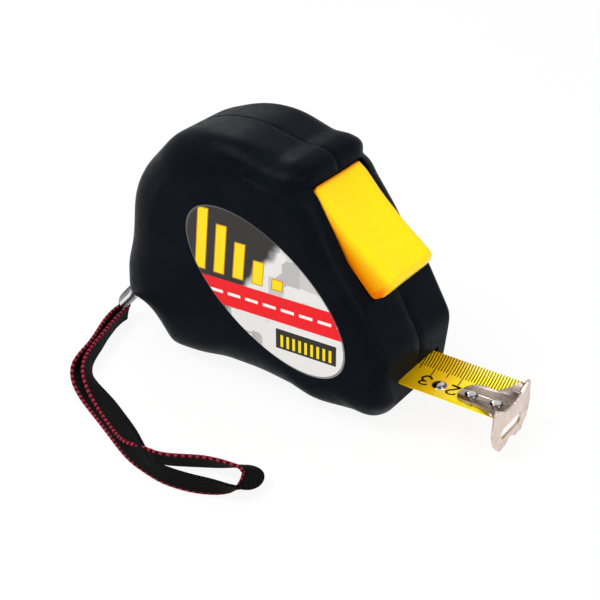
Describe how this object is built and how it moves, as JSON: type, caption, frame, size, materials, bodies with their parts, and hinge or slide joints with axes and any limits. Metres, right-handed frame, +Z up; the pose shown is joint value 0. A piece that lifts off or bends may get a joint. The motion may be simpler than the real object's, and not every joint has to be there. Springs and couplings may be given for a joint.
{
  "type": "tape measure",
  "caption": "Pocket tape measure: rubber covered case, sliding thumb lock, curved steel blade on a sprung reel, riveted end hook and a wrist strap.",
  "frame": {"origin": "on the flat base, on the plane between the two halves of the case", "axes": "+X along the way the blade comes out, +Z up, -Y towards the side with the large label"},
  "size_m": [0.1514, 0.1011, 0.0857],
  "materials": {
    "rubber": "matt black moulded rubber",
    "shell": "fine matt black ABS",
    "label": "printed gloss film",
    "button": "satin yellow plastic",
    "blade": "yellow lacquered steel strip",
    "nickel": "bright nickel plate",
    "screw": "zinc plated steel",
    "spring_steel": "blued spring steel",
    "pin_steel": "plain steel",
    "inner_plastic": "natural acetal",
    "ring": "silver grey moulded strip",
    "webbing": "black woven webbing with a red stitched edge"
  },
  "bodies": {
    "case": {"left_shell": "shell", "right_shell": "shell", "left_grip": "rubber", "right_grip": "rubber", "label_left": "label", "label_right": "label", "case_screws": "screw", "arbor": "inner_plastic", "mouth_bumper": "rubber", "strap_pin": "pin_steel", "strap_stem": "webbing", "strap_loop": "webbing"},
    "reel": {"drum": "inner_plastic", "drum_cover": "inner_plastic", "blade_coil": "blade", "power_spring": "spring_steel"},
    "tape": {"blade": "blade", "hook_rivets": "nickel", "stop_rivet": "nickel"},
    "hook": {"end_hook": "nickel"},
    "button": {"lock_button": "button"},
    "brake": {"brake_shoe": "inner_plastic", "brake_pad": "rubber"},
    "ring": {"strap_ring": "ring", "strap_eye": "webbing"}
  },
  "joints": [
    {"name": "drum_spin", "type": "hinge", "parent": "case", "child": "reel", "pos_m": [-0.008, 0, 0.04597], "axis": [0, -1, 0], "range_deg": [-61, 77]},
    {"name": "blade_slide", "type": "slide", "parent": "case", "child": "tape", "axis": [1, 0, 0], "range_m": [-0.0315, 0.04]},
    {"name": "hook_float", "type": "slide", "parent": "tape", "child": "hook", "axis": [1, 0, 0], "range_m": [-0.0005, 0.0005]},
    {"name": "lock_slide", "type": "slide", "parent": "case", "child": "button", "axis": [0.7009, 0, -0.7133], "range_m": [0, 0.006]},
    {"name": "brake_press", "type": "slide", "parent": "case", "child": "brake", "axis": [0, 0, -1], "range_m": [0, 0.0012]},
    {"name": "ring_swing", "type": "hinge", "parent": "case", "child": "ring", "pos_m": [-0.0542, 0, 0.017], "axis": [0, 1, 0], "range_deg": [-38, 75]}
  ],
  "couplings": [
    {"joint": "blade_slide", "follows": "drum_spin", "m_per_rad": 0.0295},
    {"joint": "brake_press", "follows": "lock_slide", "ratio": 0.2}
  ]
}
